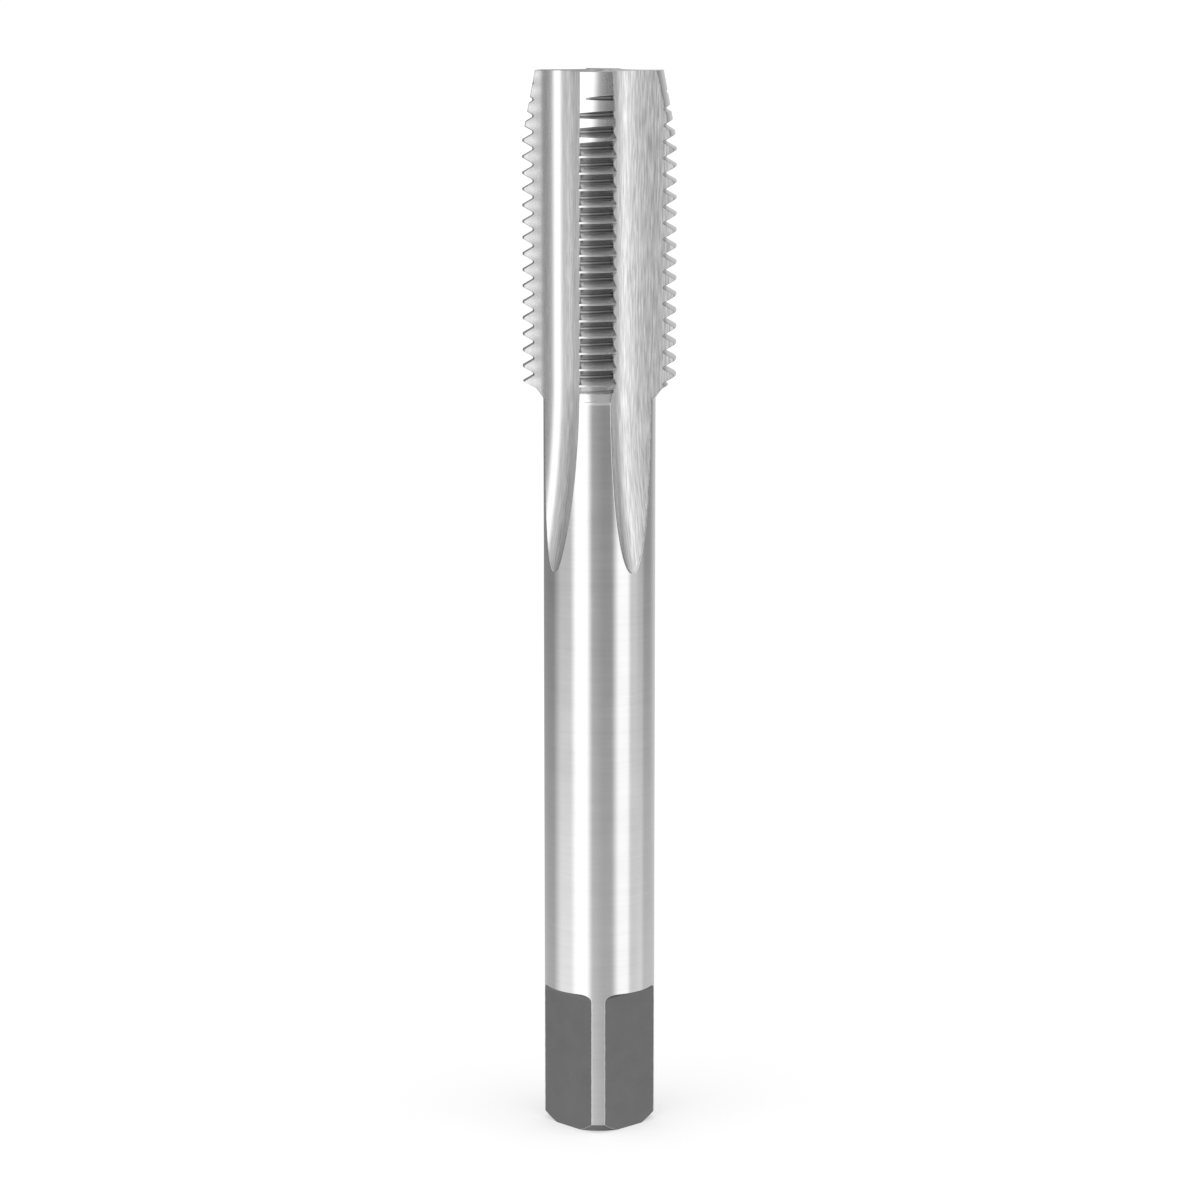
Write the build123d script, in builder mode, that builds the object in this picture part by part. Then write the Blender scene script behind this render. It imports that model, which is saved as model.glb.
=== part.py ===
"""Straight-flute hand tap for an M12 x 1.25 right-hand thread, ground from one bar.

The tap stands on its driving square: the origin is the centre of the square end's face
and +Z runs up to the cutting tip. Angles are counted counter-clockwise as seen from the
tip, from +X, where the first land is centred. The cutting edge of each land is on its
counter-clockwise side and the heel is on the other. Sizes are in millimetres and degrees.
"""

from build123d import *

import os
from math import acos, cos, degrees, radians, sin, tan

# Lengths along the axis
overall_length = 84.0
thread_end_from_tip = 24.05
neck_top_from_tip = 24.6
neck_bottom_from_tip = 25.4
flute_lift_from_tip = 23.4
square_length = 11.4

# Diameters and the square
thread_diameter = 12.0
shank_diameter = 8.8
core_diameter = 5.6
square_across_flats = 6.92
square_end_diameter = 7.44

# Thread form
pitch = 1.25
thread_angle = 60.0
thread_depth = 0.64 * pitch
crest_flat = pitch / 8.0
crest_phase = 0.065

# Lands and flutes
land_count = 4
land_angle = 28.1
rake_angle = 5.0
floor_angle = 23.6
floor_blend_angle = 6.0
grinding_wheel_radius = 75.0

# Lead at the tip, with its relief behind each cutting edge
lead_length = 4.82
lead_angle = 10.75
relief_fall = 0.32

# End details
square_chamfer_length = 0.68
square_corner_radius = 0.6
neck_drop = 0.2
neck_fillet_radius = 0.5
tip_centre_diameter = 2.0
square_centre_diameter = 2.5
centre_pilot_ratio = 0.45
centre_angle = 60.0

# Overtravel of the cutting tools beyond the metal
overtravel = 2.0

thread_radius = thread_diameter / 2
root_radius = thread_radius - thread_depth
neck_radius = root_radius - neck_drop
shank_radius = shank_diameter / 2
core_radius = core_diameter / 2
lead_slope = tan(radians(lead_angle))
tip_radius = thread_radius - lead_length * lead_slope
square_half = square_across_flats / 2
half_land = land_angle / 2
land_step = 360.0 / land_count
flute_angle = land_step - land_angle
outside_radius = thread_radius + overtravel


def polar(radius, angle):
    """Point in the XY plane at a distance and an angle from the axis."""
    return (radius * cos(radians(angle)), radius * sin(radians(angle)))


# Turned blank: shank with its end chamfer, neck cone and the full thread diameter
with BuildPart() as blank:
    with BuildSketch(Plane.XZ) as blank_section:
        with BuildLine():
            Polyline(
                (0, 0),
                (square_end_diameter / 2, 0),
                (shank_radius, square_chamfer_length),
                (shank_radius, overall_length - neck_bottom_from_tip),
                (neck_radius, overall_length - neck_top_from_tip),
                (thread_radius, overall_length - thread_end_from_tip),
                (thread_radius, overall_length),
                (0, overall_length),
                close=True,
            )
        make_face()
        neck_foot = blank_section.vertices().sort_by_distance(
            (shank_radius, 0, overall_length - neck_bottom_from_tip)
        )[0]
        fillet(neck_foot, radius=neck_fillet_radius)
    revolve(axis=Axis.Z)

# Flute wheel: the section between a cutting edge, which lies on +X, and the next heel. The
# face leans back from the edge by the rake and runs into the floor arc, and the floor's
# flatter arc runs up to the heel corner. The wheel cuts straight from the tip, then lifts
# out of the shank on its own radius.
rake_rise = thread_radius * sin(radians(rake_angle))
floor_distance = (core_radius + rake_rise) / (1.0 - sin(radians(floor_angle - rake_angle)))
floor_radius = floor_distance - core_radius
floor_centre = Vector(*polar(floor_distance, floor_angle))
face_foot = floor_centre + Vector(*polar(floor_radius, rake_angle - 90))
face_start = Vector(thread_radius, 0) + Vector(*polar(overtravel, rake_angle))
floor_blend = floor_centre + Vector(*polar(floor_radius, floor_blend_angle + 180))
blend_direction = polar(1, floor_blend_angle + 90)
heel_corner = polar(thread_radius, flute_angle)
lift_height = overall_length - flute_lift_from_tip
lift_plane = Plane.XY.offset(lift_height)
wheel_centre = Vector(*polar(core_radius + grinding_wheel_radius, floor_angle), lift_height)
wheel_axis = Axis(wheel_centre, Vector(*polar(1, floor_angle - 90)))
lift_arc = 1.5 * degrees(acos(1 - (thread_radius - core_radius) / grinding_wheel_radius))

with BuildPart() as flute_wheel:
    with BuildSketch(lift_plane) as flute_section:
        with BuildLine():
            face = Line(face_start, face_foot)
            TangentArc(face_foot, floor_blend, tangent=face % 1)
            back = TangentArc(floor_blend, heel_corner, tangent=blend_direction)
            heel_exit = Vector(*heel_corner) + (back % 1) * overtravel
            Polyline(heel_corner, heel_exit, face_start)
        make_face()
    extrude(amount=flute_lift_from_tip + overtravel)
    revolve(flute_section.sketch, axis=wheel_axis, revolution_arc=lift_arc)

# Lead relief: metal outside a cone whose axis is set off towards the cutting side, so that
# the lead falls away behind each cutting edge
relief_offset = relief_fall / (2 * sin(radians(half_land)))
relief_reach = lead_length + (relief_fall + relief_offset**2 / tip_radius) / lead_slope
relief_start = overall_length - relief_reach
cutting_point = Vector(*polar(tip_radius, half_land))
relief_tip_radius = (cutting_point - Vector(0, relief_offset)).length
relief_start_radius = relief_tip_radius + lead_slope * relief_reach

with BuildPart() as lead_relief:
    with BuildSketch(Plane.XZ):
        with BuildLine():
            Polyline(
                (relief_start_radius, relief_start),
                (relief_tip_radius - lead_slope * overtravel, overall_length + overtravel),
                (outside_radius, overall_length + overtravel),
                (outside_radius, relief_start),
                close=True,
            )
        make_face()
    revolve(axis=Axis.Z, revolution_arc=land_step)

# Thread groove across one land: the V between two crests, swept along the helix
groove_arc = 1.6 * land_angle
groove_half_width = (pitch - crest_flat) / 2
flank_slope = tan(radians(thread_angle / 2))
groove_mouth_radius = thread_radius + crest_flat
mouth_half_width = groove_half_width + (groove_mouth_radius - thread_radius) * flank_slope
root_half_width = groove_half_width - (thread_radius - root_radius) * flank_slope

with BuildPart() as thread_groove:
    with BuildLine() as groove_path:
        Helix(pitch=pitch, height=pitch * groove_arc / 360, radius=root_radius)
    with BuildSketch(Plane(groove_path.line @ 0, x_dir=(1, 0, 0), z_dir=groove_path.line % 0)):
        with BuildLine():
            Polyline(
                (0, -root_half_width),
                (groove_mouth_radius - root_radius, -mouth_half_width),
                (groove_mouth_radius - root_radius, mouth_half_width),
                (0, root_half_width),
                close=True,
            )
        make_face()
    sweep(is_frenet=True)

# Flat of the driving square, with the round corner that the cutter leaves at its end
with BuildPart() as square_cutter:
    with BuildSketch(Plane.XZ):
        with BuildLine():
            Polyline(
                (square_half, -overtravel),
                (outside_radius, -overtravel),
                (outside_radius, square_length),
                (square_half, square_length),
                close=True,
            )
        make_face()
    extrude(amount=shank_radius, both=True)
    inner_end = square_cutter.edges().filter_by(Axis.Y).group_by(Axis.Z)[-1].sort_by(Axis.X)[0]
    fillet(inner_end, radius=square_corner_radius)


def groove_heights(land):
    """Heights of the thread grooves at the middle of a land, from the tip to the neck."""
    rise = pitch * ((land * land_step + 90) / 360 - crest_phase - 0.5)
    first_cut = overall_length - (root_radius - tip_radius) / lead_slope
    last_cut = overall_length - neck_top_from_tip - groove_half_width
    heights = []
    height = overall_length + rise
    while height > last_cut:
        if height < first_cut:
            heights.append(height)
        height -= pitch
    return heights


# Every tool in its place round the bar
land_angles = [land * land_step for land in range(land_count)]
relief_place = Location((0, relief_offset, 0), (0, 0, -land_step / 2))
relief_cuts = [
    lead_relief.part.moved(Rotation(0, 0, angle) * relief_place)
    for angle in land_angles
]
flute_cuts = [
    flute_wheel.part.moved(Rotation(0, 0, angle + half_land))
    for angle in land_angles
]
square_cuts = [
    square_cutter.part.moved(Rotation(0, 0, angle + land_step / 2))
    for angle in land_angles
]
groove_place = Location((0, 0, -pitch * groove_arc / 720), (0, 0, -groove_arc / 2))
groove_cuts = [
    thread_groove.part.moved(Location((0, 0, height), (0, 0, land_angles[land])) * groove_place)
    for land in range(land_count)
    for height in groove_heights(land)
]

with BuildPart() as thread_tap:
    add(blank.part)
    add(relief_cuts, mode=Mode.SUBTRACT)
    add(flute_cuts, mode=Mode.SUBTRACT)
    add(groove_cuts, mode=Mode.SUBTRACT)
    add(square_cuts, mode=Mode.SUBTRACT)
    with Locations(Location((0, 0, overall_length))):
        CounterSinkHole(
            radius=centre_pilot_ratio * tip_centre_diameter / 2,
            counter_sink_radius=tip_centre_diameter / 2,
            depth=1.5 * tip_centre_diameter,
            counter_sink_angle=centre_angle,
        )
    with Locations(Location((0, 0, 0), (180, 0, 0))):
        CounterSinkHole(
            radius=centre_pilot_ratio * square_centre_diameter / 2,
            counter_sink_radius=square_centre_diameter / 2,
            depth=1.5 * square_centre_diameter,
            counter_sink_angle=centre_angle,
        )

thread_tap.part.label = "thread_tap"
os.makedirs("parts", exist_ok=True)
export_step(thread_tap.part, "parts/thread_tap.step")
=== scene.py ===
"""Finish and studio for a straight-flute hand tap, ground from one bar of tool steel.

The tap stands on its driving square with the cutting tip up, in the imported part's frame.
Its skin is made of sheets. Each sheet is a grid of points worked out from two parameters,
and the sheets share their borders, so together they close the body. The form is worked out
in millimetres and degrees, and the mesh is in metres. Angles run counter-clockwise as seen
from the tip, with the first land at +X. Each land's cutting edge is on its counter-clockwise
side, and its heel is on the other.
"""

from collections import namedtuple
from math import acos, asin, atan2, cos, hypot, pi, radians, sin, sqrt, tan

import bpy
import numpy as np
from mathutils import Euler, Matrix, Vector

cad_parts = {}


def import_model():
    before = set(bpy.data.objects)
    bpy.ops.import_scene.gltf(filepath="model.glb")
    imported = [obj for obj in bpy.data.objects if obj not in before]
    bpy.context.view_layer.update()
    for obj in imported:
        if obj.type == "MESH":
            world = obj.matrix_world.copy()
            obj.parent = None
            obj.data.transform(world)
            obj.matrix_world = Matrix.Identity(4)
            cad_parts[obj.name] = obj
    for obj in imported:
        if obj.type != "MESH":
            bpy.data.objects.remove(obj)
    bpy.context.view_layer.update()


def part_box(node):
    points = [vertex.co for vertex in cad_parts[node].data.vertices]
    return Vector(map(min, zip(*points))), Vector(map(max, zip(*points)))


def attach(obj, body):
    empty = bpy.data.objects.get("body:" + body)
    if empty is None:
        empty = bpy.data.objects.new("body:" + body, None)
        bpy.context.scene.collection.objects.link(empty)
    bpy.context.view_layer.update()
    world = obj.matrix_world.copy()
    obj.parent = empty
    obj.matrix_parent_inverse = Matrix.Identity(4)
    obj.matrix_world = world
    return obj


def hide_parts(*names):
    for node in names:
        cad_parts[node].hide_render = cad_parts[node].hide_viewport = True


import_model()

MM = 0.001

# ---------------------------------------------------------------- sizes of the tap

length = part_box("thread_tap")[1].z / MM
square_length = 11.4
neck_bottom = length - 25.4
neck_top = length - 24.6
thread_end = length - 24.05
lift_height = length - 23.4

thread_radius = 6.0
shank_radius = 4.4
core_radius = 2.8
square_half = 3.46
square_end_radius = 3.72
square_chamfer = 0.68
square_fillet = 0.6
neck_fillet = 0.5

pitch = 1.25
thread_depth = 0.64 * pitch
neck_drop = 0.2
root_radius = thread_radius - thread_depth
neck_radius = root_radius - neck_drop
crest_flat = pitch / 8
crest_phase = 0.065
flank_slope = tan(radians(30))

lands = 4
half_land = radians(28.1) / 2
quarter = 2 * pi / lands
rake = radians(5)
floor_angle = radians(23.6)
floor_blend = radians(6)
wheel_radius = 75.0

lead_length = 4.82
lead_slope = tan(radians(10.75))
relief_fall = 0.32

# Edges are broken by a hair, on a flank by no more than a share of it. The shading leans over
# at the heel and more at the cutting edge.
edge_break = 0.018
flank_break_share = 0.3
heel_lean = 0.4
cutting_edge_lean = 1.0

# Centre holes: radius of each mouth, and the pilot's radius and the depth as shares of it
tip_centre_radius = 1.0
base_centre_radius = 1.25
pilot_share = 0.45
depth_share = 3.0
centre_slope = tan(radians(30))

# Columns across each land, with a narrow one at each edge, and across each flute, and rows
# along each stretch of the body
land_share = np.concatenate([[0, 0.02], np.linspace(0.1, 0.9, 9), [0.98, 1]])
land_columns = len(land_share) - 1
flute_columns = 28
neck_rows = 4
neck_arc_rows = 6
runout_rows = 40
shank_rows = 14
fillet_rows = 7
square_rows = 6
chamfer_rows = 4
end_rows = 5

# Steps of the searches for a flute's border, a crest's width and a land's border
crossing_steps = 36
width_steps = 12
border_steps = 5

# Points in the same ten-thousandth of a millimetre share a vertex
snaps_per_mm = 1e4

Sheet = namedtuple("Sheet", "points normals chart finish")


def direction(angle):
    """Unit vector (cos a, sin a, 0) for each angle a."""
    return np.stack([np.cos(angle), np.sin(angle), np.zeros_like(angle)], axis=-1)


def with_height(flat, height):
    """Points of a flat pattern (x, y) lifted to a height z."""
    return np.concatenate([flat, height[..., None]], axis=-1)


def blend(start, end, share):
    """Straight mix from start to end: start + (end - start) * share."""
    return start + (end - start) * share


def unit_vectors(vectors):
    """Vectors divided by their length, where a vector of no length stays as it is."""
    return vectors / np.maximum(np.linalg.norm(vectors, axis=-1, keepdims=True), 1e-12)


# ---------------------------------------------------------------- turned blank


def turned_radius(height):
    """Radius of the turned blank at a height: straight lines between the end chamfer, shank,
    neck cone, end bevel and thread, with an arc where the neck cone meets the shank."""
    heights = [0, square_chamfer, neck_bottom, neck_top, thread_end, length]
    radii = [square_end_radius, shank_radius, shank_radius, neck_radius, thread_radius, thread_radius]
    straight = np.interp(height, heights, radii)
    into_arc = np.clip(height - fillet_start, 0, fillet_rise)
    arc = shank_radius + neck_fillet - np.sqrt(neck_fillet**2 - into_arc**2)
    return np.where((height > fillet_start) & (height < fillet_start + fillet_rise), arc, straight)


neck_slope = atan2(neck_radius - shank_radius, neck_top - neck_bottom)
fillet_start = neck_bottom - neck_fillet * tan(neck_slope / 2)
fillet_rise = neck_fillet * sin(neck_slope)


def turned_normals(angle, height, low, high):
    """Normal of the turned blank between two heights: radial, tipped by the profile's slope
    dr/dz, which is measured just inside the stretch."""
    step = 1e-4
    inside = np.clip(height, low + 2 * step, high - 2 * step)
    slope = (turned_radius(inside + step) - turned_radius(inside - step)) / (2 * step)
    normal = direction(angle)
    normal[..., 2] = -slope
    return normal


# ---------------------------------------------------------------- flutes

# The flute's line across the bar, in a frame with the cutting edge on +X: the face, which
# leans back by the rake, a tight floor arc and a flatter back arc up to the heel corner.
# Lengths along the line are measured from face_start, which lies outside the bar by a margin,
# and the line ends as far outside it.
line_margin = 1.0
face_inward = np.array([-cos(rake), -sin(rake)])
face_normal = np.array([-sin(rake), cos(rake)])
cutting_edge = np.array([thread_radius, 0.0])
face_start = cutting_edge - line_margin * face_inward
floor_distance = (core_radius + thread_radius * sin(rake)) / (1 - sin(floor_angle - rake))
floor_radius = floor_distance - core_radius
floor_centre = floor_distance * np.array([cos(floor_angle), sin(floor_angle)])
face_foot = floor_centre - floor_radius * face_normal
blend_point = floor_centre - floor_radius * np.array([cos(floor_blend), sin(floor_blend)])
heel_angle = quarter - 2 * half_land
heel_corner = thread_radius * np.array([cos(heel_angle), sin(heel_angle)])
back_chord = heel_corner - blend_point
back_turn = pi / 2 + floor_blend - atan2(back_chord[1], back_chord[0])
back_radius = hypot(*back_chord) / (2 * sin(back_turn))
back_centre = blend_point + back_radius * np.array([cos(floor_blend), sin(floor_blend)])
face_length = (face_foot - face_start) @ face_inward
floor_length = floor_radius * (pi / 2 + rake - floor_blend)
back_length = 2 * back_turn * back_radius
deep_place = face_length + floor_radius * (pi / 2 + rake - floor_angle)
line_end = face_length + floor_length + back_length + line_margin
lift_direction = np.array([cos(floor_angle), sin(floor_angle)])


def flute_line(place):
    """Point and inward normal of the flute's line at a length along it: a straight face, then
    two arcs, centre + radius * (cos a, sin a) with the angle a falling along the line."""
    on_floor = place - face_length
    on_back = on_floor - floor_length
    floor_turn = rake - pi / 2 - on_floor / floor_radius
    back_angle = pi + floor_blend - on_back / back_radius
    face_point = face_start + place[..., None] * face_inward
    floor_arm = direction(floor_turn)[..., :2]
    back_arm = direction(back_angle)[..., :2]
    here = [place[..., None] < face_length, on_back[..., None] < 0]
    points = np.select(
        here, [face_point, floor_centre + floor_radius * floor_arm], back_centre + back_radius * back_arm
    )
    normals = np.select(here, [np.broadcast_to(face_normal, face_point.shape), -floor_arm], -back_arm)
    return points, normals


def flute_point(place, height):
    """Point and normal of the ground flute in the frame of its cutting face. Below the lift
    height the wheel climbs out on its own radius R: each point moves out along the lift
    direction by R - sqrt(R^2 - drop^2), and its normal turns up by asin(drop / R)."""
    flat, flat_normal = flute_line(place)
    drop = np.maximum(lift_height - height, 0)
    reach = wheel_radius - (flat @ lift_direction - core_radius)
    shift = reach - np.sqrt(reach**2 - drop**2)
    moved = flat + shift[..., None] * lift_direction
    toward_wheel = flat_normal @ lift_direction
    rest = flat_normal - toward_wheel[..., None] * lift_direction
    lean = drop / reach
    turned = rest + (toward_wheel * np.sqrt(1 - lean**2))[..., None] * lift_direction
    return with_height(moved, height), with_height(turned, toward_wheel * lean)


def flute_crossing(radius, height, outer_end):
    """Length along the flute's line where it passes a radius, found by halving the stretch
    between an outer end and the deepest place."""
    outer = np.full(np.shape(radius), float(outer_end))
    inner = np.full(np.shape(radius), deep_place)
    for _ in range(crossing_steps):
        middle = (outer + inner) / 2
        point, _ = flute_point(middle, height)
        beyond = np.hypot(point[..., 0], point[..., 1]) > radius
        outer = np.where(beyond, middle, outer)
        inner = np.where(beyond, inner, middle)
    return inner


def turn(vectors, angle):
    """Vectors turned about the axis by an angle for each row of the array."""
    c = np.cos(angle)
    s = np.sin(angle)
    x = vectors[..., 0]
    y = vectors[..., 1]
    return np.stack(np.broadcast_arrays(x * c - y * s, x * s + y * c, vectors[..., 2]), axis=-1)


# ---------------------------------------------------------------- thread on the lands

land_middle = np.arange(lands)[:, None, None] * quarter
relief_offset = relief_fall / (2 * sin(half_land))
tip_radius = thread_radius - lead_length * lead_slope
relief_radius = hypot(tip_radius * cos(half_land), tip_radius * sin(half_land) - relief_offset)
sharp_root = thread_radius - (pitch - crest_flat) / 2 / flank_slope
root_arc = root_radius - sharp_root
root_width = root_arc * cos(radians(30))

# The even columns of a flute begin this far inside the thread's root, and the soft edge of a
# crest keeps this share of its softness down in the root
thread_clearance = 0.5
least_softness = 0.02


def lead_radius(turned, height):
    """Radius of the relieved lead at an angle from the land's middle: the surface of a cone
    whose axis is set off by e towards the cutting side, r = e sin a + sqrt(R^2 - e^2 cos^2 a)."""
    cone = relief_radius + lead_slope * (length - height)
    return relief_offset * np.sin(turned) + np.sqrt(cone**2 - (relief_offset * np.cos(turned)) ** 2)


def crest_height(turned):
    """Height of the first crest on each land: it climbs one pitch for each full turn."""
    return length + pitch * ((land_middle + turned) / (2 * pi) + 0.25 - crest_phase)


def land_radius(turned, height):
    """Radius of a threaded land: the groove's 60 degree V with a round root, cut into the
    blank and its lead. A soft minimum, -k ln(e^(-a/k) + e^(-b/k)), breaks the crest edges, and
    its softness k shrinks to next to nothing in the root."""
    off_crest = (height - crest_height(turned)) / pitch
    from_root = pitch * (0.5 - np.abs(off_crest - np.round(off_crest)))
    flank = sharp_root + from_root / flank_slope
    arc = sharp_root + 2 * root_arc - np.sqrt(root_arc**2 - np.minimum(from_root, root_width) ** 2)
    groove = np.where(from_root < root_width, arc, flank)
    outside = np.minimum(turned_radius(height), lead_radius(turned, height))
    softness = edge_break / 2 * np.clip(from_root / root_width - 1, least_softness, 1)
    return -softness * np.logaddexp(-groove / softness, -outside / softness)


def thread_stations():
    """Rows over half a tooth from the root up, each a mix of five lengths: half the pitch, the
    root's width, the crest's half width, and the edge break on the flank and on the crest."""
    root = [(1, -share, 0, 0, 0) for share in (0, 0.35, 0.7, 1)]
    flank = [(1 - share, share - 1, share, 0, 0) for share in (0.33, 0.67)]
    crest = [(0, 0, 1, 1, 0), (0, 0, 1, 0, 0), (0, 0, 1, 0, -1)]
    return np.array(root + flank + crest)


def thread_heights(turned):
    """Height of each row of thread at an angle from the land's middle. The rows follow the
    helix, and their crest edges follow the lead, where crests grow wide as they get lower:
    the half width is crest / 2 + (full radius - lead radius) * tan 30. Each row's place is a
    mix of the five lengths of its station."""
    stations = thread_stations()
    teeth = 2 + int((length - neck_top) / pitch + 1)
    upper = np.tile(np.concatenate([np.ones(len(stations)), [0], -np.ones(len(stations) - 1)]), teeth)
    mix = np.tile(np.concatenate([stations, 0 * stations[:1], stations[:0:-1]]), (teeth, 1))
    tooth = np.repeat(np.arange(teeth), 2 * len(stations))
    middle = crest_height(turned) - pitch * tooth[:, None]
    half_width = np.full_like(middle, crest_flat / 2)
    widest = pitch / 2 - 2 * edge_break
    for _ in range(width_steps):
        low = thread_radius - lead_radius(turned, middle + upper[:, None] * half_width)
        half_width = np.clip(crest_flat / 2 + np.maximum(low, 0) * flank_slope, None, widest)
    root = np.minimum(root_width, pitch / 2 - half_width)
    flank_break = np.minimum(edge_break, flank_break_share * (pitch / 2 - root - half_width))
    parts = (pitch / 2, root, half_width, flank_break, edge_break)
    offset = sum(mix[:, number, None] * part for number, part in enumerate(parts))
    return np.clip(middle + upper[:, None] * offset, neck_top, length)


def thread_border(outer_end, start, frame_turn):
    """Angle from the land's middle at which each row of thread meets a flute, found by
    stepping between the thread's radius and the flute's line."""
    turned = np.full_like(thread_heights(np.zeros((1, 1, 1))), start)
    for _ in range(border_steps):
        height = thread_heights(turned)
        place = flute_crossing(land_radius(turned, height), height, outer_end)
        point, _ = flute_point(place, height)
        turned = np.arctan2(point[..., 1], point[..., 0]) + frame_turn
    return turned


def rounded_edges(normals, angle):
    """Unit normals with the first and last columns leant outwards along the circle, as a broken
    edge has them: a quarter of the way to square at the heel, and halfway at the cutting edge."""
    outward = np.zeros(angle.shape[-1])
    outward[[0, -1]] = -heel_lean, cutting_edge_lean
    return unit_vectors(normals) + outward[:, None] * direction(angle + pi / 2)


def chart_of(across, along, from_edge):
    """Chart of a sheet in millimetres: places across and along it, and the distance from the
    nearest edge, as three columns."""
    return np.stack(np.broadcast_arrays(across, along, from_edge), axis=-1)


def grid_normals(points):
    """Normals of a grid: the cross product of its steps down the rows and along the columns."""
    return np.cross(np.gradient(points, axis=-3), np.gradient(points, axis=-2))


# ---------------------------------------------------------------- the tap's sheets

GROUND, FLUTE, THREAD, CREST, SCALE, END_FACE = range(6)
flute_share = np.linspace(0, 1, flute_columns + 1)
face_turn = land_middle + half_land
heel_turn = half_land - quarter


def flute_sheet(height_at_face, height_at_heel, radius_at_face, radius_at_heel):
    """Grid over each flute, from the cutting edge of one land to the heel of the next. The
    outermost columns lie on the land borders, and the rest are spread over the line between
    the places where it passes a radius inside every thread. Places along its chart count from
    a crest at the cutting edge."""
    height = blend(height_at_face, height_at_heel, flute_share)
    within = np.minimum(root_radius - thread_clearance, turned_radius(height))
    start = flute_crossing(within, height, 0)
    end = flute_crossing(within, height, line_end)
    place = blend(start, end, (flute_share - flute_share[1]) / (flute_share[-2] - flute_share[1]))
    place[..., :1] = flute_crossing(radius_at_face, height_at_face, 0)
    place[..., -1:] = flute_crossing(radius_at_heel, height_at_heel, line_end)
    points, normals = flute_point(place, height)
    first_crest = length + pitch * ((face_turn + pi / 2) / (2 * pi) - crest_phase)
    from_edge = np.minimum(place - place[..., :1], place[..., -1:] - place)
    chart = chart_of(place, height - first_crest, from_edge)
    return Sheet(turn(points, face_turn), turn(normals, face_turn), chart, FLUTE)


def threaded_sheets():
    """Lands and flutes from the tip to the neck."""
    edge = thread_border(0, half_land, half_land)
    heel = thread_border(line_end, -half_land, heel_turn)
    turned = blend(heel, edge, land_share)
    height = thread_heights(turned)
    radius = land_radius(turned, height)
    points = radius[..., None] * direction(turned + land_middle)
    points[..., 2] = height
    outside = np.minimum(turned_radius(height), lead_radius(turned, height))
    on_crest = outside - radius < edge_break / 2
    on_crest = on_crest[:, :-1] & on_crest[:, 1:]
    finish = np.where(on_crest[..., :-1] & on_crest[..., 1:], CREST, THREAD)
    from_edge = np.minimum(edge - turned, turned - heel) * thread_radius
    chart = chart_of((edge - turned) * thread_radius, height, from_edge)
    normals = rounded_edges(grid_normals(points), turned + land_middle)
    land = Sheet(points, normals, chart, finish)
    next_height = np.roll(height[..., :1], -1, axis=0)
    next_radius = np.roll(radius[..., :1], -1, axis=0)
    return land, flute_sheet(height[..., -1:], next_height, radius[..., -1:], next_radius)


def runout_sheets(heights, low, high):
    """Lands and flutes over a stretch of the turned blank below the thread."""
    height = np.broadcast_to(heights[:, None], (lands, len(heights), 1))
    radius = turned_radius(height)
    borders = []
    for outer_end, frame_turn in ((line_end, heel_turn), (0, half_land)):
        point, _ = flute_point(flute_crossing(radius, height, outer_end), height)
        borders.append(np.arctan2(point[..., 1], point[..., 0]) + frame_turn)
    land = edged_sheet(heights, borders[0], borders[1], low, high, GROUND)
    return land, flute_sheet(height, height, radius, radius)


def turned_sheet(heights, start, end, low, high, finish, columns=land_share):
    """Grid on the turned blank between two angles, which may change from row to row."""
    height = np.broadcast_to(heights[:, None], (lands, len(heights), len(columns)))
    angle = blend(start, end, columns) + land_middle
    radius = turned_radius(height)
    points = radius[..., None] * direction(angle)
    points[..., 2] = height
    from_edge = np.minimum(angle - angle[..., :1], angle[..., -1:] - angle) * radius
    chart = chart_of((angle - land_middle) * shank_radius, height, from_edge)
    return Sheet(points, turned_normals(angle, height, low, high), chart, finish)


def edged_sheet(heights, start, end, low, high, finish):
    """Grid on the turned blank between two broken edges."""
    sheet = turned_sheet(heights, start, end, low, high, finish)
    angle = np.arctan2(sheet.points[..., 1], sheet.points[..., 0])
    return sheet._replace(normals=rounded_edges(sheet.normals, angle))


def square_sheets(heights, low, high, strip_finish):
    """Corner strips and flats of the driving square. A flat lies at a distance d from the axis,
    and above the square fillet's centre d grows as an arc."""
    above = np.clip(heights - (square_length - square_fillet), 0, square_fillet)
    distance = square_half + square_fillet - np.sqrt(square_fillet**2 - above**2)
    half_strip = (quarter / 2 - np.arccos(distance / turned_radius(heights)))[:, None]
    strip = edged_sheet(heights, -half_strip, half_strip, low, high, strip_finish)
    half_width = np.sqrt(turned_radius(heights) ** 2 - distance**2)[:, None]
    across = blend(-half_width, half_width, flute_share)
    flat = np.stack([np.broadcast_to(distance[:, None], across.shape), across], axis=-1)
    points = with_height(flat, np.broadcast_to(heights[:, None], across.shape))
    lean = np.broadcast_to(above[:, None] / square_fillet, across.shape)
    normals = np.stack([np.sqrt(1 - lean**2), np.zeros_like(lean), -lean], axis=-1)
    middle = land_middle + quarter / 2
    chart = chart_of(across, points[..., 2], half_width - np.abs(across))
    chart = np.broadcast_to(chart, (lands, *chart.shape))
    return strip, Sheet(turn(points, middle), turn(normals, middle), chart, SCALE)


def ring(land, flute, row):
    """One closed row round the body, from the grids of the lands and of the flutes."""
    pairs = np.concatenate([land.points[:, row, :-1], flute.points[:, row, :-1]], axis=1)
    return pairs.reshape(-1, 3)


def end_chart(points):
    """Chart of an end: the points' own x and y, and for the third column the radius."""
    return chart_of(points[..., 0], points[..., 1], np.hypot(points[..., 0], points[..., 1]))


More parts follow.
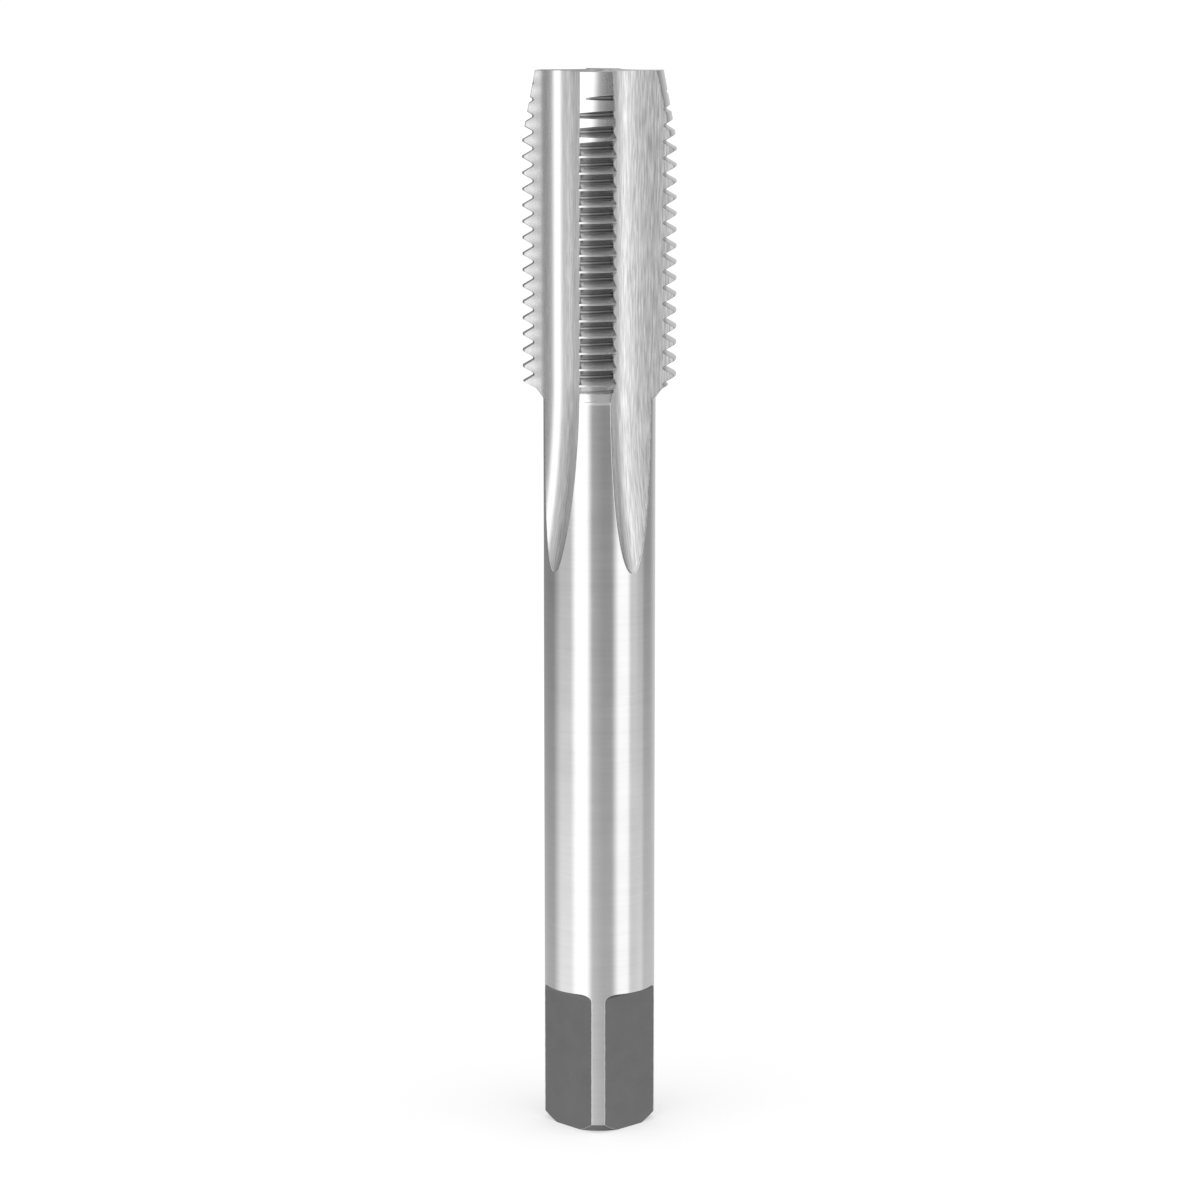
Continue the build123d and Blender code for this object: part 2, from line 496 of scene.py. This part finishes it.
def end_sheets(outline, mouth, face_height, inward, finish):
    """End face between the outline and the mouth of its centre hole, then the hole itself:
    a 60 degree countersink, a pilot and a flat bottom. Rows run from the outline inwards, and
    each normal has an outward share and a share towards the end."""
    pilot = pilot_share * mouth
    depth = depth_share * mouth
    columns = len(outline)
    angle = (np.arange(columns + 1) - land_columns / 2) * 2 * pi / columns
    closed = np.concatenate([outline, outline[:1]])
    circle = direction(angle)
    mouth_row = mouth * circle + [0, 0, face_height]
    face = blend(closed[None], mouth_row[None], np.linspace(0, 1, end_rows)[:, None, None])
    radii = [mouth, pilot, pilot, 0]
    depths = [0, (mouth - pilot) / centre_slope, depth, depth]
    rows = [radius * circle + [0, 0, face_height + inward * deep] for radius, deep in zip(radii, depths)]
    grids = [face, *(np.stack(pair) for pair in zip(rows[:-1], rows[1:]))]
    shares = [(0, 1), (-1, centre_slope), (-1, 0), (0, 1)]
    sheets = []
    for grid, (outward, endward) in zip(grids, shares):
        normals = np.broadcast_to(outward * circle + [0, 0, -inward * endward], grid.shape)
        sheets.append(Sheet(grid, normals, end_chart(grid), finish))
    return sheets


def upside_down(sheets):
    """The same sheets with their rows in the other order, for the end that is met first."""
    return [Sheet(s.points[::-1], s.normals[::-1], s.chart[::-1], s.finish) for s in sheets]


def tap_sheets():
    """Every sheet of the tap, from the bottom of the tip's centre hole down to the base's. The
    wheel leaves the shank where its centre stands off the surface by core + R - shank radius."""
    stand_off = core_radius + wheel_radius - shank_radius
    runout_end = lift_height - sqrt(wheel_radius**2 - stand_off**2)
    fillet_end = fillet_start + fillet_rise
    square_fillet_end = square_length - square_fillet
    threaded = threaded_sheets()
    neck_cone = runout_sheets(np.linspace(neck_top, fillet_end, neck_rows), fillet_end, neck_top)
    arc_heights = np.linspace(fillet_end, fillet_start, neck_arc_rows)
    neck_arc = runout_sheets(arc_heights, fillet_start, fillet_end)
    climb = np.linspace(1, 0, runout_rows) ** 2
    runout = runout_sheets(blend(runout_end, fillet_start, climb), runout_end, fillet_start)

    deep_angle = half_land + floor_angle
    top_heights = np.linspace(runout_end, square_length, shank_rows)
    strip_top = quarter / 2 - acos((square_half + square_fillet) / shank_radius)
    down = np.linspace(0, 1, shank_rows)[:, None]
    start = blend(deep_angle - quarter, -strip_top, down)
    end = blend(deep_angle, strip_top, down)
    shank = (
        turned_sheet(top_heights, start, end, square_length, runout_end, GROUND),
        turned_sheet(top_heights, end, start + quarter, square_length, runout_end, GROUND, flute_share),
    )

    corner_heights = square_fillet_end + square_fillet * np.sin(np.linspace(pi / 2, 0, fillet_rows))
    square_heights = np.linspace(square_fillet_end, square_chamfer, square_rows)
    chamfer_heights = np.linspace(square_chamfer, 0, chamfer_rows)
    corner = square_sheets(corner_heights, square_fillet_end, square_length, GROUND)
    square = square_sheets(square_heights, square_chamfer, square_length, GROUND)
    chamfer = square_sheets(chamfer_heights, 0, square_chamfer, SCALE)
    ledge_points = np.stack([shank[1].points[:, -1], corner[1].points[:, 0]], axis=1)
    downwards = np.broadcast_to([0.0, 0.0, -1.0], ledge_points.shape)
    ledge = Sheet(ledge_points, downwards, corner[1].chart[:, :2], SCALE)

    tip = end_sheets(ring(*threaded, 0), tip_centre_radius, length, -1, END_FACE)
    base = end_sheets(ring(*chamfer, -1), base_centre_radius, 0, 1, SCALE)
    return [
        *upside_down(tip), *threaded, *neck_cone, *neck_arc, *runout, *shank,
        ledge, *corner, *square, *chamfer, *base,
    ]


def corners(grid):
    """The four corners of every cell of a grid, in the order that faces outwards."""
    cells = [grid[..., :-1, :-1, :], grid[..., 1:, :-1, :], grid[..., 1:, 1:, :], grid[..., :-1, 1:, :]]
    return np.stack(cells, axis=-2).reshape(-1, 4, grid.shape[-1])


def cell_finishes(sheet):
    """Finish of each cell of a sheet, which is given once for the sheet or once for each cell."""
    return np.broadcast_to(sheet.finish, sheet.points[..., 1:, 1:, 0].shape).ravel()


def place_object(name, data):
    """New object in the scene, at the origin and unturned."""
    piece = bpy.data.objects.new(name, data)
    bpy.context.scene.collection.objects.link(piece)
    return piece


def body_from_sheets(name, sheets, finishes):
    """One closed mesh from many sheets. Corners that lie at the same point share a vertex, and
    a cell that has closed up to a line or a point is left out."""
    grids = [[corners(grid) for grid in (s.points, s.normals, s.chart)] for s in sheets]
    places, normals, chart = (np.concatenate(cells) for cells in zip(*grids))
    finish = np.concatenate([cell_finishes(sheet) for sheet in sheets])

    snapped = np.round(places.reshape(-1, 3) * snaps_per_mm).astype(np.int64)
    _, first, vertex = np.unique(snapped, axis=0, return_index=True, return_inverse=True)
    vertex = vertex.reshape(-1, 4)
    kept = vertex != np.roll(vertex, -1, axis=1)
    whole = (kept.sum(axis=1) > 2) & (vertex[:, 0] != vertex[:, 2]) & (vertex[:, 1] != vertex[:, 3])
    kept &= whole[:, None]
    sides = kept.sum(axis=1)[whole]
    starts = np.concatenate([[0], np.cumsum(sides)[:-1]])

    mesh = bpy.data.meshes.new(name)
    mesh.vertices.add(len(first))
    mesh.vertices.foreach_set("co", (places.reshape(-1, 3)[first] * MM).ravel())
    mesh.loops.add(int(sides.sum()))
    mesh.loops.foreach_set("vertex_index", vertex[kept])
    mesh.polygons.add(len(sides))
    mesh.polygons.foreach_set("loop_start", starts)
    mesh.polygons.foreach_set("loop_total", sides)
    for material in finishes:
        mesh.materials.append(material)
    mesh.polygons.foreach_set("material_index", finish[whole])
    mesh.polygons.foreach_set("use_smooth", np.ones(len(sides), bool))
    layer = mesh.uv_layers.new(name="chart")
    mesh.update(calc_edges=True)
    layer.uv.foreach_set("vector", chart[kept][:, :2].ravel())
    edge_layer = mesh.attributes.new("from_edge", "FLOAT", "CORNER")
    edge_layer.data.foreach_set("value", chart[kept][:, 2].copy())
    mesh.normals_split_custom_set(unit_vectors(normals[kept]))
    return place_object(name, mesh)


# ---------------------------------------------------------------- node helpers


def add_node(tree, kind, inputs=None, **options):
    """Add a node, set its options, and feed its inputs with numbers or other nodes' outputs."""
    node = tree.nodes.new(kind)
    for option, value in options.items():
        setattr(node, option, value)
    for socket, value in (inputs or {}).items():
        if isinstance(value, bpy.types.NodeSocket):
            tree.links.new(value, node.inputs[socket])
        else:
            node.inputs[socket].default_value = value
    return node


def spread(tree, value, source, target, smooth=False):
    """Carry a value from one range to another, held at the ends."""
    ends = {"From Min": source[0], "From Max": source[1], "To Min": target[0], "To Max": target[1]}
    kind = "SMOOTHSTEP" if smooth else "LINEAR"
    node = add_node(tree, "ShaderNodeMapRange", {"Value": value, **ends}, interpolation_type=kind)
    return node.outputs["Result"]


def from_unit(tree, value, low, high):
    """Carry a value between 0 and 1 to another range."""
    return spread(tree, value, (0, 1), (low, high))


def from_noise(tree, value, low, high):
    """Carry noise, which keeps mostly between 0.3 and 0.7, to another range."""
    return spread(tree, value, (0.3, 0.7), (low, high))


def arithmetic(tree, operation, *values):
    """Result of a Math node's operation on one or two values."""
    return add_node(tree, "ShaderNodeMath", dict(enumerate(values)), operation=operation).outputs[0]


def plus(tree, first, second):
    """Sum of two values."""
    return arithmetic(tree, "ADD", first, second)


def times(tree, first, second):
    """Product of two values."""
    return arithmetic(tree, "MULTIPLY", first, second)


def mixed(tree, share, first, second):
    """Straight mix of two values."""
    return add_node(tree, "ShaderNodeMix", {"Factor": share, "A": first, "B": second}).outputs[0]


def stretched(tree, vector, scale):
    """Coordinates stretched by a scale for each axis."""
    return add_node(tree, "ShaderNodeMapping", {"Vector": vector, "Scale": scale}).outputs[0]


def noise(tree, vector, scale, detail=2.0):
    """Noise between 0 and 1."""
    inputs = {"Vector": vector, "Scale": scale, "Detail": detail}
    return add_node(tree, "ShaderNodeTexNoise", inputs).outputs[0]


def new_group(name, inputs, outputs):
    """Empty node group with named sockets. An input given as None is a vector."""
    tree = bpy.data.node_groups.new(name, "ShaderNodeTree")
    for label, value in inputs.items():
        kind = "NodeSocketVector" if value is None else "NodeSocketFloat"
        socket = tree.interface.new_socket(label, in_out="INPUT", socket_type=kind)
        if value is not None:
            socket.default_value = value
    for label in outputs:
        tree.interface.new_socket(label, in_out="OUTPUT", socket_type="NodeSocketFloat")
    return tree, tree.nodes.new("NodeGroupInput").outputs, tree.nodes.new("NodeGroupOutput").inputs


def use_group(tree, group, **inputs):
    """Place a node group in a tree with its own values, and give its outputs."""
    return add_node(tree, "ShaderNodeGroup", inputs, node_tree=group).outputs


def object_places(tree):
    """Object coordinates in metres."""
    return add_node(tree, "ShaderNodeTexCoord").outputs["Object"]


def chart_places(tree):
    """Chart coordinates in millimetres: across the sheet and along it."""
    return add_node(tree, "ShaderNodeUVMap", uv_map="chart").outputs[0]


def chart_part(tree, chart, axis):
    """One chart coordinate: X for the place across the sheet, Y for the place along it."""
    return add_node(tree, "ShaderNodeSeparateXYZ", {0: chart}).outputs[axis]


def edge_distance(tree):
    """Distance from the sheet's nearest edge in millimetres, and on an end face the radius."""
    return add_node(tree, "ShaderNodeAttribute", attribute_name="from_edge").outputs["Fac"]


# ---------------------------------------------------------------- shared effects


def wheel_marks_group():
    """Marks of a grinding wheel, from 0 to 1 about one half: fine lines and, with a share
    Broad, wider bands. The vector is stretched beforehand, with one unit to a fine line."""
    tree, given, out = new_group("wheel_marks", {"Vector": None, "Broad": 0.3}, ["Marks"])
    fine = noise(tree, given["Vector"], 1.0, 3.0)
    broad = noise(tree, given["Vector"], 0.21, 1.0)
    tree.links.new(mixed(tree, given["Broad"], fine, broad), out["Marks"])
    return tree


def edge_band_group():
    """Band along an edge: 1 at the edge, falling smoothly to 0 at a width that wavers along it
    from a third to five thirds of Width."""
    inputs = {"Distance": 0.0, "Width": 0.1, "Vector": None, "Waver": 3.0}
    tree, given, out = new_group("edge_band", inputs, ["Mask"])
    waver = from_noise(tree, noise(tree, given["Vector"], given["Waver"]), 0.33, 1.67)
    width = times(tree, given["Width"], waver)
    share = arithmetic(tree, "DIVIDE", given["Distance"], width)
    tree.links.new(spread(tree, share, (0, 1), (1, 0), smooth=True), out["Mask"])
    return tree


def mottle_group():
    """Cloudy patches with a finer grain in them, from 0 to 1 about one half."""
    tree, given, out = new_group("mottle", {"Vector": None, "Scale": 1.0}, ["Clouds"])
    clouds = noise(tree, given["Vector"], given["Scale"], 4.0)
    tree.links.new(from_noise(tree, clouds, 0, 1), out["Clouds"])
    return tree


def edge_specks_group():
    """Fine irregular specks that thicken towards the cutting edge, and how near that edge is:
    0 from Reach millimetres on, rising smoothly to 1 at the edge."""
    tree, given, out = new_group("edge_specks", {"Vector": None, "Reach": 1.0}, ["Specks", "Near"])
    across = chart_part(tree, given["Vector"], "X")
    near = spread(tree, across, (0, given["Reach"]), (1, 0), smooth=True)
    grain = use_group(tree, mottle, Vector=given["Vector"], Scale=5.0)["Clouds"]
    tree.links.new(times(tree, near, grain), out["Specks"])
    tree.links.new(near, out["Near"])
    return tree


wheel_marks = wheel_marks_group()
edge_band = edge_band_group()
mottle = mottle_group()
edge_specks = edge_specks_group()


# ---------------------------------------------------------------- finishes


def steel(name, paint):
    """Metal finish whose colour, roughness and bump are given by a paint function. It gets the
    node tree and returns the three values, with the bump's height in metres."""
    material = bpy.data.materials.new(name)
    material.use_nodes = True
    tree = material.node_tree
    shader = tree.nodes["Principled BSDF"]
    shader.inputs["Metallic"].default_value = 1
    colour, roughness, height = paint(tree)
    tree.links.new(colour, shader.inputs["Base Color"])
    tree.links.new(roughness, shader.inputs["Roughness"])
    bump = add_node(tree, "ShaderNodeBump", {"Distance": 1.0, "Height": height})
    tree.links.new(bump.outputs["Normal"], shader.inputs["Normal"])
    return material


def paint_shank(tree):
    """Cylindrically ground steel: fine lines round the bar, and faint clouds of roughness."""
    places = object_places(tree)
    lines = stretched(tree, places, (250, 250, 9000))
    marks = use_group(tree, wheel_marks, Vector=lines, Broad=0.4)["Marks"]
    clouds = use_group(tree, mottle, Vector=places, Scale=420.0)["Clouds"]
    colour = plus(tree, from_noise(tree, marks, -0.018, 0.018), from_unit(tree, clouds, 0.565, 0.595))
    roughness = plus(tree, from_noise(tree, marks, -0.015, 0.015), from_unit(tree, clouds, 0.12, 0.155))
    return colour, roughness, times(tree, marks, 3e-7)


def tooth_patches(tree, chart, across):
    """Brighter patch on the cutting face behind each tooth: a cosine along the face with one
    turn to a pitch, uneven from tooth to tooth, which fades where the floor begins."""
    turns = times(tree, chart_part(tree, chart, "Y"), 2 * pi / pitch)
    teeth = spread(tree, arithmetic(tree, "COSINE", turns), (-0.8, 1), (-0.02, 0.17))
    on_face = spread(tree, across, (line_margin + 0.8, line_margin + 1.8), (1, 0), smooth=True)
    uneven = from_unit(tree, use_group(tree, mottle, Vector=chart, Scale=1.6)["Clouds"], 0.6, 1.4)
    return times(tree, teeth, times(tree, on_face, uneven))


def paint_flute(tree):
    """Flute ground along the bar: a smooth face and floor, and a back arc with coarse streaks.
    The face is brighter behind each tooth, and a thin dark line of painted shade runs along the edges."""
    chart = chart_places(tree)
    across = chart_part(tree, chart, "X")
    floor_end = face_length + floor_length
    back = spread(tree, across, (floor_end - 1.7, floor_end - 0.4), (0, 1), smooth=True)
    streaks = stretched(tree, chart, (9.0, 0.5, 1))
    marks = use_group(tree, wheel_marks, Vector=streaks, Broad=0.15)["Marks"]
    drawn_out = stretched(tree, chart, (1.6, 0.3, 1))
    clouds = use_group(tree, mottle, Vector=drawn_out, Scale=1.3)["Clouds"]

    streak = times(tree, spread(tree, marks, (0.36, 0.64), (-1, 1)), mixed(tree, back, 0.025, 0.16))
    ground = plus(tree, tooth_patches(tree, chart, across), mixed(tree, back, 0.63, 0.66))
    # Painted shade: the colour darkens to 0.3 in a thin wavering line along the flute's edges, wider on
    # the back arc
    edges = {"Distance": edge_distance(tree), "Width": mixed(tree, back, 0.055, 0.11)}
    line = use_group(tree, edge_band, Vector=chart, Waver=2.0, **edges)["Mask"]
    colour = mixed(tree, line, plus(tree, streak, ground), 0.3)
    dull = times(tree, from_unit(tree, clouds, 0.88, 1.12), mixed(tree, back, 0.02, 0.18))
    roughness = plus(tree, dull, from_noise(tree, marks, 0.22, 0.27))
    return colour, roughness, times(tree, marks, mixed(tree, back, 6e-7, 6e-6))


def paint_thread(tree):
    """Ground thread flanks: fine lines along the thread, roots darkened with painted shade, and specks
    by the cutting edge."""
    chart = chart_places(tree)
    lines = stretched(tree, chart, (0.8, 16.0, 1))
    marks = use_group(tree, wheel_marks, Vector=lines, Broad=0.3)["Marks"]
    specks = use_group(tree, edge_specks, Vector=chart, Reach=0.45)["Specks"]
    flat = stretched(tree, object_places(tree), (1, 1, 0))
    radius = add_node(tree, "ShaderNodeVectorMath", {0: flat}, operation="LENGTH").outputs["Value"]
    root = root_radius * MM
    # Painted shade: the colour falls to half down in the thread's root
    painted_root_shade = spread(tree, radius, (root + 2e-5, root + 1.6e-4), (0.5, 1), smooth=True)
    ground = times(tree, from_noise(tree, marks, 0.47, 0.57), painted_root_shade)
    colour = arithmetic(tree, "SUBTRACT", ground, times(tree, specks, 0.24))
    roughness = plus(tree, from_noise(tree, marks, 0.13, 0.2), times(tree, specks, 0.25))
    height = times(tree, plus(tree, marks, times(tree, specks, 3.0)), 1.5e-6)
    return colour, roughness, height


def paint_crest(tree):
    """Ground crests and lead: bright at the heel, duller and specked by the cutting edge."""
    chart = chart_places(tree)
    lines = stretched(tree, chart, (0.8, 10.0, 1))
    marks = use_group(tree, wheel_marks, Vector=lines, Broad=0.3)["Marks"]
    worn = use_group(tree, edge_specks, Vector=chart, Reach=1.7)
    specks = worn["Specks"]
    ground = from_noise(tree, marks, 0.57, 0.61)
    colour = arithmetic(tree, "SUBTRACT", ground, times(tree, specks, 0.26))
    roughness = plus(tree, from_unit(tree, worn["Near"], 0.14, 0.22), times(tree, specks, 0.15))
    height = times(tree, plus(tree, marks, times(tree, specks, 4.0)), 1.5e-6)
    return colour, roughness, height


def paint_scale(tree):
    """Dark heat scale left on the driving square, with a thin worn rim at its edges."""
    places = object_places(tree)
    clouds = use_group(tree, mottle, Vector=places, Scale=700.0)["Clouds"]
    grain = use_group(tree, mottle, Vector=places, Scale=5200.0)["Clouds"]
    both = mixed(tree, 0.35, clouds, grain)
    edges = {"Distance": edge_distance(tree), "Width": 0.055}
    worn = use_group(tree, edge_band, Vector=chart_places(tree), Waver=2.5, **edges)["Mask"]
    colour = mixed(tree, worn, from_unit(tree, both, 0.15, 0.182), 0.48)
    roughness = mixed(tree, worn, from_unit(tree, both, 0.44, 0.54), 0.3)
    return colour, roughness, times(tree, grain, 1.5e-6)


def paint_end(tree):
    """Turned end face: fine rings about the centre hole."""
    inputs = {"W": edge_distance(tree), "Scale": 9.0, "Detail": 3.0}
    rings = add_node(tree, "ShaderNodeTexNoise", inputs, noise_dimensions="1D").outputs[0]
    clouds = use_group(tree, mottle, Vector=chart_places(tree), Scale=1.2)["Clouds"]
    colour = plus(tree, from_noise(tree, rings, -0.05, 0.05), from_unit(tree, clouds, 0.48, 0.54))
    return colour, from_noise(tree, rings, 0.22, 0.34), times(tree, rings, 3e-6)


finishes = [
    steel("ground_shank", paint_shank),
    steel("ground_flute", paint_flute),
    steel("ground_thread", paint_thread),
    steel("ground_crest", paint_crest),
    steel("heat_scale", paint_scale),
    steel("turned_end", paint_end),
]
tap = body_from_sheets("ground_tap", tap_sheets(), finishes)
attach(tap, "root")
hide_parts("thread_tap")


# ---------------------------------------------------------------- studio

camera_azimuth = radians(1.3)

# Light tent round the tap, by azimuth from the camera's side round to the right: where each
# card begins and ends, and its strength low over the table, level, and high up. Between two
# cards the strength runs straight from one to the next, so their edges are soft.
Card = namedtuple("Card", "start end table level high")
tent_cards = {
    "shade_left": Card(-180, -110, 0.68, 0.28, 0.3),
    "wing_left": Card(-88, -62, 1.38, 0.7, 0.66),
    "softbox_left": Card(-50, -26, 1.8, 1.8, 1.8),
    "shade_front_left": Card(-15, -13, 0.86, 0.56, 0.6),
    "shade_front_right": Card(8, 26, 0.71, 0.41, 0.23),
    "softbox_right": Card(40, 61, 1.6, 1.7, 1.5),
    "wing_right": Card(68, 80, 1.0, 0.95, 0.75),
    "wing_far_right": Card(91, 98, 1.15, 0.66, 0.5),
    "shade_right": Card(107, 127, 0.88, 0.38, 0.32),
    "wing_back": Card(150, 180, 0.75, 0.74, 0.75),
}

# Elevations in degrees, and which of a card's three strengths holds there: 0 for table, 1 for
# level and 2 for high. The panels' cells are about two degrees wide.
tent_levels = ([-18, -7.5, 0, 20], [0, 1, 1, 2])
panel_cell = 2


def tent_strength(azimuth, elevation):
    """Strength of the tent in a direction: along the ring by azimuth for each of the three
    levels, then a straight mix from level to level by elevation."""
    cards = np.array(list(tent_cards.values()))
    stops = cards[:, :2].ravel()
    table, level, high = (np.interp(azimuth, stops, np.repeat(ring, 2)) for ring in cards[:, 2:].T)
    place = np.interp(elevation, *tent_levels)
    lower = blend(table, level, np.clip(place, 0, 1))
    return blend(lower, high, np.clip(place - 1, 0, 1))


def even(strength):
    """Strength that is the same in every direction."""
    return lambda azimuth, elevation: strength


def panel(name, reach, azimuths, elevations, strength):
    """Curved glowing panel on a sphere round the tap's middle, which only reflections see. Its
    points are reach * (cos e cos a, cos e sin a, sin e) for azimuth a and elevation e, with
    azimuths counted from the camera's side."""
    columns = 2 + int((azimuths[1] - azimuths[0]) / panel_cell)
    rows = 2 + int((elevations[1] - elevations[0]) / panel_cell)
    azimuth = np.linspace(*azimuths, columns)[None, :]
    elevation = np.linspace(*elevations, rows)[:, None]
    around = np.radians(azimuth) - pi / 2 + camera_azimuth
    up = np.radians(elevation)
    parts = (np.cos(up) * np.cos(around), np.cos(up) * np.sin(around), np.sin(up))
    points = reach * np.stack(np.broadcast_arrays(*parts), axis=-1)
    points[..., 2] += length * MM / 2
    numbers = np.arange(rows * columns).reshape(rows, columns)
    cells = np.stack([numbers[:-1, :-1], numbers[:-1, 1:], numbers[1:, 1:], numbers[1:, :-1]], axis=-1)
    mesh = bpy.data.meshes.new(name)
    mesh.from_pydata(points.reshape(-1, 3).tolist(), [], cells.reshape(-1, 4).tolist())
    glow = mesh.attributes.new("glow", "FLOAT", "POINT")
    strengths = np.broadcast_to(strength(azimuth, elevation), numbers.shape)
    glow.data.foreach_set("value", strengths.ravel())
    mesh.materials.append(tent_cloth)
    piece = place_object(name, mesh)
    piece.visible_camera = False
    piece.visible_diffuse = False
    piece.visible_shadow = False


def glowing(name):
    """Empty material whose glow is found only by rays that happen on it, not aimed at as a lamp.
    It comes with its node tree and the socket that takes its surface."""
    material = bpy.data.materials.new(name)
    material.use_nodes = True
    material.cycles.emission_sampling = "NONE"
    tree = material.node_tree
    tree.nodes.clear()
    return material, tree, tree.nodes.new("ShaderNodeOutputMaterial").inputs["Surface"]


def seen_ray(tree):
    """1 for rays that show the background: straight from the camera, by reflection, or through
    something clear."""
    path = tree.nodes.new("ShaderNodeLightPath").outputs
    reflected = arithmetic(tree, "MAXIMUM", path["Is Glossy Ray"], path["Is Transmission Ray"])
    return arithmetic(tree, "MAXIMUM", path["Is Camera Ray"], reflected)


tent_cloth, cloth_tree, cloth_surface = glowing("tent_cloth")
glow_value = add_node(cloth_tree, "ShaderNodeAttribute", attribute_name="glow").outputs["Fac"]
cloth_glow = add_node(cloth_tree, "ShaderNodeEmission", {"Strength": glow_value})
cloth_tree.links.new(cloth_glow.outputs[0], cloth_surface)

panel("tent", 1.0, (-180, 180), (-60, 35), tent_strength)
panel("overhead_shade", 1.0, (-180, 180), (55, 90), even(0.18))
panel("table_near", 1.0, (-180, 180), (-90, -60), even(0.65))
panel("table_light", 0.95, (-120, -52), (-85, -50), even(1.8))
panel("table_shade", 0.95, (62, 120), (-85, -50), even(0.12))


def floor():
    """Plain pale floor. Its glow makes up to white what the lamps leave, for the rays that show
    the background, and the tap's shadow stays."""
    material, tree, surface = glowing("floor")
    paint = add_node(tree, "ShaderNodeBsdfDiffuse", {"Color": (0.6, 0.6, 0.6, 1)})
    glow = add_node(tree, "ShaderNodeEmission", {"Strength": times(tree, seen_ray(tree), 0.44)})
    both = add_node(tree, "ShaderNodeAddShader", {0: paint.outputs[0], 1: glow.outputs[0]})
    tree.links.new(both.outputs[0], surface)
    half = 30.0
    outline = [(-half, -half, 0), (half, -half, 0), (half, half, 0), (-half, half, 0)]
    mesh = bpy.data.meshes.new("floor")
    mesh.from_pydata(outline, [], [(0, 1, 2, 3)])
    mesh.materials.append(material)
    piece = place_object("floor", mesh)
    piece.visible_glossy = False


def world():
    """White surroundings for the rays that show the background, softer light for the rest."""
    surroundings = bpy.data.worlds.new("studio")
    bpy.context.scene.world = surroundings
    surroundings.use_nodes = True
    tree = surroundings.node_tree
    tree.nodes.clear()
    strength = from_unit(tree, seen_ray(tree), 0.75, 1.0)
    back = add_node(tree, "ShaderNodeBackground", {"Color": (1, 1, 1, 1), "Strength": strength})
    out = tree.nodes.new("ShaderNodeOutputWorld")
    tree.links.new(back.outputs[0], out.inputs["Surface"])


def lamp(name, azimuth, elevation, strength):
    """Wide soft lamp from far off, which lights the floor evenly."""
    light = bpy.data.lights.new(name, "SUN")
    light.energy = strength
    light.angle = radians(50)
    piece = place_object(name, light)
    around = radians(azimuth) - pi / 2 + camera_azimuth
    piece.rotation_euler = Euler((pi / 2 - radians(elevation), 0, around + pi / 2))
    piece.visible_glossy = False


floor()
world()
lamp("lamp_left", -45, 55, 0.5)
lamp("lamp_right", 50, 60, 0.45)

bpy.context.scene.view_settings.view_transform = "Standard"

# ---------------------------------------------------------------- camera

sensor_width = 36
image_width = 1200
focal_pixels = 3783
camera_distance = 294.8
camera_height = 93.39
camera_pitch = radians(9.80)
axis_column = 599.5

camera_data = bpy.data.cameras.new("camera")
camera_data.sensor_width = sensor_width
camera_data.sensor_fit = "HORIZONTAL"
camera_data.lens = sensor_width * focal_pixels / image_width
camera_data.clip_start = 0.01
camera_data.clip_end = 20
camera = place_object("camera", camera_data)
camera.location = (
    camera_distance * sin(camera_azimuth) * MM,
    -camera_distance * cos(camera_azimuth) * MM,
    camera_height * MM,
)
aside = asin((image_width / 2 - axis_column) / focal_pixels)
camera.rotation_euler = Euler((pi / 2 - camera_pitch, 0, camera_azimuth - aside))
bpy.context.scene.camera = camera
